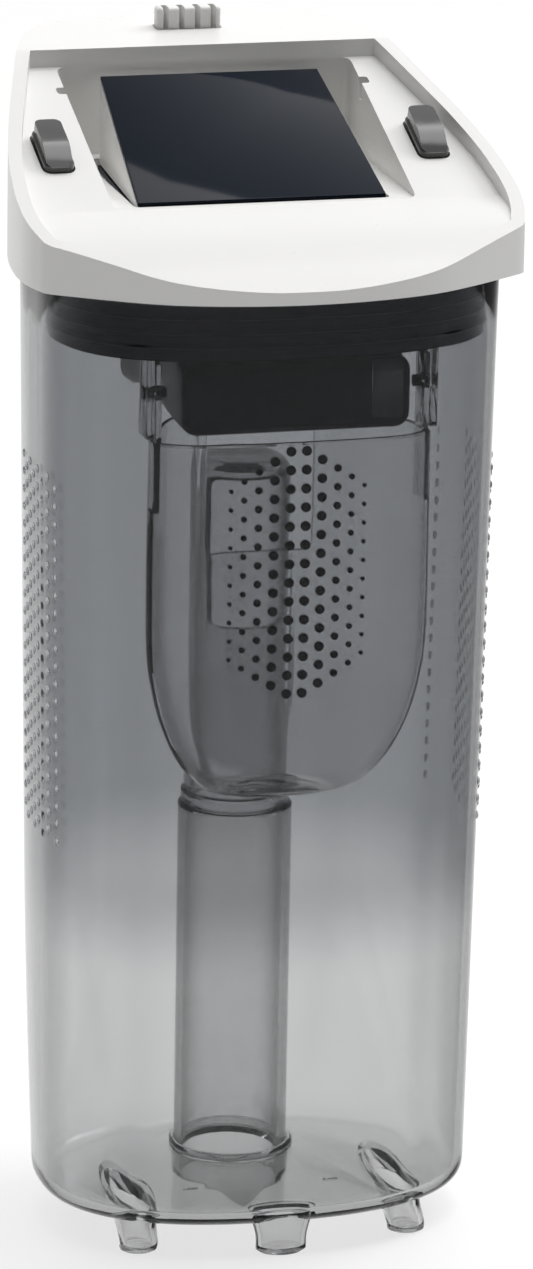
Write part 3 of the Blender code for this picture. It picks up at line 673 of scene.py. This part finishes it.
def chamber():
    """The black box that the float rises in: a wide foot, and a neck into the lid."""
    low, high = span("float_chamber")
    inside_z = 245
    shoulder = meets("float_chamber", (0, low.y + 3, inside_z), DOWN).z
    neck_front = meets("float_chamber", (0, low.y - 20, inside_z), BACK).y
    foot_box = block(low, (high.x, high.y, shoulder), 4.0, 6)
    neck = block((low.x, neck_front, shoulder - 8), high, 4.0, 6, upright_only=True)
    shape = join(foot_box, neck)

    left, right, back = low.x + BOX_WALL, high.x - BOX_WALL, high.y - BOX_WALL
    shape = cut(shape, block((left, low.y + BOX_WALL, low.z + BOX_WALL),
                             (right, back, shoulder - BOX_WALL), 2.6, 4))
    shape = cut(shape, block((left, neck_front + BOX_WALL, shoulder - 6),
                             (right, back, high.z + 9), 2.6, 4, upright_only=True))
    holes = [
        block((x - 2.5, low.y + 16, low.z - 2), (x + 2.5, low.y + 48, low.z + 4), 1.0, 2)
        for x in (-18, -9, 0, 9, 18)
    ]
    pane_low, pane_high = span("chamber_window")
    holes.append(block((pane_low.x - 0.2, low.y - 2, pane_low.z - 0.2),
                       (pane_high.x + 0.8, low.y + 3, pane_high.z + 0.2), 1.0, 3))
    shape = cut(shape, gather(holes))
    thing = piece("float_box", shape, BLACK, "lid", ["float_chamber"])
    round_edges(thing, 0.25, 2, 50)
    pane = block(pane_low, pane_high, 0.4, 2)
    piece("float_window", pane, CUP_LOOK, "lid", ["chamber_window"])


def sleeve():
    """Rubber sleeve whose rounded lips wipe the tank's neck."""
    low, high = span("lid_seal")
    neck = outline("tank_body", ring_heights("tank_body", 100)[-1])
    inner, body, tip = WALL + 2.1, WALL + 1.3, WALL + 0.4  # in from the tank's outside
    lip = [(body, -0.8), (body - 0.2, -0.5), (tip + 0.15, -0.25), (tip, 0.1),
           (tip + 0.15, 0.4), (body - 0.2, 0.7), (body, 1.0)]
    profile = [(inner, high.z), (inner, low.z), (body + 0.2, low.z)]
    for lip_z in (239.4, 242.8, 246.4):
        profile += [(distance, lip_z + z) for distance, z in lip]
    profile.append((body, high.z))
    shape = loft([at_height(inset(neck, d), z) for d, z in profile], ring_shaped=True)
    piece("seal_sleeve", shape, RUBBER, "lid", ["lid_seal"], crease=50)


# ---- lid ----------------------------------------------------------------------


def lid():
    low, high = span("lid_shell")
    plan = outline("lid_shell", low.z, 216)

    # The filter's bay, found from inside it, and the slopes in front, beside and behind.
    in_bay = (36.5, 0, 280)
    bay_right = meets("lid_shell", (36.5, 0, 270), RIGHT).x
    bay_back = meets("lid_shell", in_bay, BACK).y
    bay_front = meets("lid_shell", (36.5, 0, 266.5), -BACK).y
    bay_floor = meets("lid_shell", in_bay, DOWN).z
    deck = [
        (y, meets("lid_shell", (0, y, OVERHEAD), DOWN).z)
        for y in np.linspace(low.y + 0.3, bay_front - 0.05, 8)
    ]
    arm_z = meets("lid_shell", (ARM_X, 30, OVERHEAD), DOWN).z
    slope = math.atan2(arm_z - deck[-1][1], 30 - deck[-1][0])
    arm_back = deck[-1][1] + math.tan(slope) * (bay_back - deck[-1][0])
    bridge_front = meets("lid_shell", (20, bay_back + 0.6, OVERHEAD), DOWN).z
    bridge_back = meets("lid_shell", (20, high.y - 1, OVERHEAD), DOWN).z
    fine_deck = [tuple(p) for p in smooth(deck, 3)]

    def deck_line(drop, end_y, end_z):
        """The deck's profile, lowered, and run on to one more point."""
        start = (low.y - 3, deck[0][1] - drop)
        return [start, *[(y, z - drop) for y, z in fine_deck], (end_y, end_z - drop)]

    rim_top = [p for p in deck_line(0.0, 0, 0) if p[0] < low.y + 24]
    rim_top += [(bay_back, bridge_front), (high.y + 2, bridge_back)]
    under = [(high.y + 2, low.z - 5), (low.y - 3, low.z - 5)]
    outside = prism(plan, low.z, high.z + 10)
    shape = combine(outside, side_prism(rim_top + under, OUTSIDE), "INTERSECT")

    above = [(bay_back, high.z + 20), (low.y - 3, high.z + 20)]
    sunk = side_prism(deck_line(0.0, bay_back, arm_back) + above, OUTSIDE)
    shape = cut(shape, combine(sunk, prism(inset(plan, RIM), 240, OVERHEAD), "INTERSECT"))

    bay = ((-bay_right, bay_front, bay_floor), (bay_right, bay_back, OVERHEAD))
    seat_low, seat_high = span("filter_seal")
    seat = ((seat_low.x - 0.6, seat_low.y - 0.6, seat_low.z - GAP),
            (seat_high.x + 0.6, seat_high.y + 0.6, 320))
    shape = cut(shape, block(*bay, 2.5, 4, upright_only=True))
    shape = cut(shape, block(*seat, 1.5, 3, upright_only=True))

    hollow = combine(
        side_prism(deck_line(SHELL, high.y + 2, bridge_front - SHELL) + under, OUTSIDE),
        prism(inset(plan, SHELL), low.z - 8, OVERHEAD), "INTERSECT")
    for corners in (bay, seat):
        grown = [[c + way * SHELL for c in corner] for corner, way in zip(corners, (-1, 1))]
        hollow = cut(hollow, block(*grown))
    shape = cut(shape, hollow)
    airway = block((-22, -13, 255), (22, 27, bay_floor + 2), 1.0, 2)
    shape = cut(shape, airway)

    tab_low, tab_high = span("release_tab")
    holes = [block((tab_low.x - GAP, tab_low.y - GAP, 270),
                   (tab_high.x + GAP, tab_high.y + GAP, 320), 0.9, 2)]
    for side in (1, -1):
        hole = block((-4.3, -9.7, -6), (4.3, 9.7, 12), 2.5, 4, upright_only=True)
        bmesh.ops.transform(hole, matrix=arm_frame(side), verts=hole.verts)
        holes.append(hole)
        groove = ((bay_right - 0.8, 28.4, arm_back - 9), (bay_right + 2.2, 31.4, OVERHEAD))
        holes.append(block(*mirrored(*groove, side), 0.8, 3, upright_only=True))
    shape = cut(shape, gather(holes))
    thing = piece("lid_cover", shape, WHITE, "lid", ["lid_shell"])
    round_edges(thing, 0.7)


def arm_frame(side):
    """The button's own frame: its Z axis stands square on the sloping arm."""
    name = "button_right" if side > 0 else "button_left"
    joint = next(j for j in frame["joints"] if j["child"] == name)
    out = -Vector(joint["axis"])
    x, y = axis_of(name)
    arm_z = meets("lid_shell", (ARM_X * side, y, OVERHEAD), DOWN).z
    tilt = math.atan2(-out.y, out.z)
    return Matrix.Translation((x, y, arm_z)) @ Matrix.Rotation(tilt, 4, "X")


# ---- buttons, filter and small parts ------------------------------------------


def button(side):
    """Glossy push button: a raised ridge at the back, a slope to the front, a low flange."""
    name = "button_right" if side > 0 else "button_left"
    ridge = [(-9.3, -5.0), (-9.3, 1.2), (-3.9, 4.0), (-1.8, 4.6), (9.3, 4.6), (9.3, -5.0)]
    plan = block((-3.4, -9.0, -6), (3.4, 9.0, 6), 1.9, 5, upright_only=True)
    flange = block((-3.9, -9.3, -5), (3.9, 9.3, 1.4), 2.2, 5, upright_only=True)
    stem = turned([(2.0, -14.6), (2.0, -3.0)], (0, 0), 32, hollow=False)
    cap = combine(side_prism(ridge, 5), plan, "INTERSECT")
    cap = join(join(cap, flange), stem)
    bmesh.ops.transform(cap, matrix=arm_frame(side), verts=cap.verts)
    thing = piece(f"{name}_cap", cap, GREY, name, [name])
    round_edges(thing, 0.6, 4, 24)


def tab():
    """Release tab with four finger grooves down its front."""
    low, high = span("release_tab")
    grooves = [
        block((x - 0.7, low.y - 2, high.z - 8.8), (x + 0.7, low.y + 4.0, high.z + 4), 0.5, 3)
        for x in (-6.3, -2.1, 2.1, 6.3)
    ]
    shape = cut(block(low, high, 1.1, 4), gather(grooves))
    thing = piece("tab_grip", shape, WHITE, "release_tab", ["release_tab"])
    round_edges(thing, 0.2, 2)


def coil(node, place, radius, low, high):
    """A spring round its own Z axis, from `low` to `high`."""
    wire, turns = 0.45, math.tau * 4
    low, high = low + wire, high - wire
    rings = []
    for share in np.linspace(0, 1, 97).tolist():
        angle = turns * share
        out = Vector((math.cos(angle), math.sin(angle), 0))
        along = Vector((-out.y * radius * turns, out.x * radius * turns, high - low)).normalized()
        middle = out * radius + UP * (low + (high - low) * share)
        ring = [middle + out * a + along.cross(out) * b for a, b in circle(wire, 12).tolist()]
        rings.append([place @ point for point in ring])
    thing = piece(f"{node}_coil", loft(rings), STEEL, "lid", [node], crease=60)
    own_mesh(thing)


def springs():
    for side, name in ((1, "right"), (-1, "left")):
        coil(f"button_spring_{name}", arm_frame(side),
             3.2, -12.25, -5.35)
    low, high = span("tab_spring")
    upright = Matrix.Translation((*axis_of("tab_spring"), 0))
    coil("tab_spring", upright, 1.8, low.z, high.z)


def pleats():
    """Filter paper folded into deep pleats that open downwards."""
    low, high = span("filter_media")
    shape = bmesh.new()
    shape.from_mesh(nodes["filter_media"].data)
    bmesh.ops.scale(shape, verts=shape.verts, vec=(1 / MM, 1 / MM, 1 / MM))
    front, back, skin, pitch, half_gap = low.y + 1.5, high.y - 1.5, 1.6, 3.5, 1.1
    fold = [(front, low.z - 1), (back, low.z - 1), (back, high.z - 2 * skin),
            (front, low.z + 0.1)]
    gaps = []
    for x in np.arange(-24.5, 25, pitch).tolist():
        gap = side_prism(fold, half_gap)
        bmesh.ops.translate(gap, verts=gap.verts, vec=(x, 0, 0))
        gaps.append(gap)
    shape = cut(shape, gather(gaps))
    piece("filter_pleats", shape, PAPER, "filter", ["filter_media"])


def fastener(number):
    """Pan-head screw with a cross recess, put in from below."""
    low, high = span(f"screw_{number}")
    axis = axis_of(f"screw_{number}")
    head, shank = 3.0, 1.4
    profile = [(1.6, low.z), (2.5, low.z + 0.3), (head, low.z + 0.9), (head, low.z + 2.0),
               (shank, low.z + 2.0), (shank, high.z - 0.8), (0.5, high.z)]
    shape = turned(profile, axis, 40, hollow=False)
    for half_x, half_y in ((0.35, 1.6), (1.6, 0.35)):
        recess = block((axis[0] - half_x, axis[1] - half_y, low.z - 1),
                       (axis[0] + half_x, axis[1] + half_y, low.z + 1.1))
        shape = cut(shape, recess)
    piece(f"screw_{number}_turned", shape, STEEL, "lid", [f"screw_{number}"])


def small_parts():
    for node in ("latch_left", "latch_right"):
        finish_node(node, BLACK, 0.3)
    for node in ("cup_pin_left", "cup_pin_right"):
        finish_node(node, BLACK, 0.2)
    for node in ("cup_hanger_left", "cup_hanger_right"):
        finish_node(node, CUP_LOOK, 0.3)
    finish_node("lid_base", BLACK)
    finish_node("float_block", FOAM)
    finish_node("filter_seal", RUBBER)
    finish_node("filter_frame", WHITE, 0.35)
    finish_node("filter_panel", PANEL, 0.25)


# ---- stage, light and camera --------------------------------------------------


def stage():
    """A pale floor that glows a little, so that it lights the clear pieces from below."""
    shape = bmesh.new()
    bmesh.ops.create_grid(shape, x_segments=1, y_segments=1, size=6.0)
    mesh = bpy.data.meshes.new("floor")
    shape.to_mesh(mesh)
    shape.free()
    look = surface("pale_floor", grey(0.30), 0.7, 0.0)
    tune(look, Emission_Color=(1, 1, 1, 1), Emission_Strength=0.72)
    mesh.materials.append(look)
    floor = bpy.data.objects.new("floor", mesh)
    floor.visible_glossy = False
    bpy.context.scene.collection.objects.link(floor)


def sky():
    """Soft studio surround: white behind the object, darker in front and at the sides."""
    world = bpy.data.worlds.new("studio")
    bpy.context.scene.world = world
    world.use_nodes = True
    tree = world.node_tree
    light = tree.nodes["Background"]
    place = tree.nodes.new("ShaderNodeTexCoord")
    axes = tree.nodes.new("ShaderNodeSeparateXYZ")
    tree.links.new(place.outputs["Generated"], axes.inputs[0])

    def part(source, *values):
        step = tree.nodes.new("ShaderNodeMapRange")
        set_range(step, *values)
        tree.links.new(source, step.inputs["Value"])
        return step.outputs["Result"]

    aside = tree.nodes.new("ShaderNodeMath")
    aside.operation = "ABSOLUTE"
    tree.links.new(axes.outputs["X"], aside.inputs[0])
    strength = tree.nodes.new("ShaderNodeMath")
    strength.operation = "MULTIPLY"
    tree.links.new(part(axes.outputs["Y"], -0.6, 0.6, 0.05, 1.0), strength.inputs[0])
    tree.links.new(part(aside.outputs[0], 0.4, 0.85, 1.0, 0.15), strength.inputs[1])
    tree.links.new(strength.outputs[0], light.inputs["Strength"])
    light.inputs["Color"].default_value = (1.0, 1.0, 1.0, 1)


def lamp(name, place, aim, watts, size):
    data = bpy.data.lights.new(name, "AREA")
    data.energy = watts
    data.size = size
    thing = bpy.data.objects.new(name, data)
    thing.location = place
    thing.rotation_euler = (Vector(aim) - Vector(place)).to_track_quat("-Z", "Y").to_euler()
    bpy.context.scene.collection.objects.link(thing)


def camera():
    """Looks down on the object from the front left, a little rolled."""
    data = bpy.data.cameras.new("camera")
    data.lens = 205.67
    data.sensor_width = 36.0
    thing = bpy.data.objects.new("camera", data)
    bpy.context.scene.collection.objects.link(thing)
    azimuth, elevation, roll = (math.radians(angle) for angle in (-15.0, 16.0, 1.0))
    aim, distance = (0.0055, -0.0115, 0.1507), 1.856
    thing.matrix_world = (
        Matrix.Translation(aim)
        @ Matrix.Rotation(azimuth, 4, "Z")
        @ Matrix.Rotation(math.pi / 2 - elevation, 4, "X")
        @ Matrix.Rotation(roll, 4, "Z")
        @ Matrix.Translation((0, 0, distance))
    )
    bpy.context.scene.camera = thing


riser_axis, riser_bore = tank()
pipes(riser_axis, riser_bore)
grip_dots()
cup()
strainer_dots()
chamber()
sleeve()
lid()
button(1)
button(-1)
tab()
springs()
pleats()
for number in (1, 2, 3, 4):
    fastener(number)
small_parts()
stage()
sky()
lamp("key", (1.4, 0.5, 1.5), (0, 0, 0.2), 16, 0.9)
lamp("top", (0.3, 0.1, 1.8), (0, 0, 0.2), 15, 1.0)
camera()
bpy.context.scene.view_settings.view_transform = "Standard"
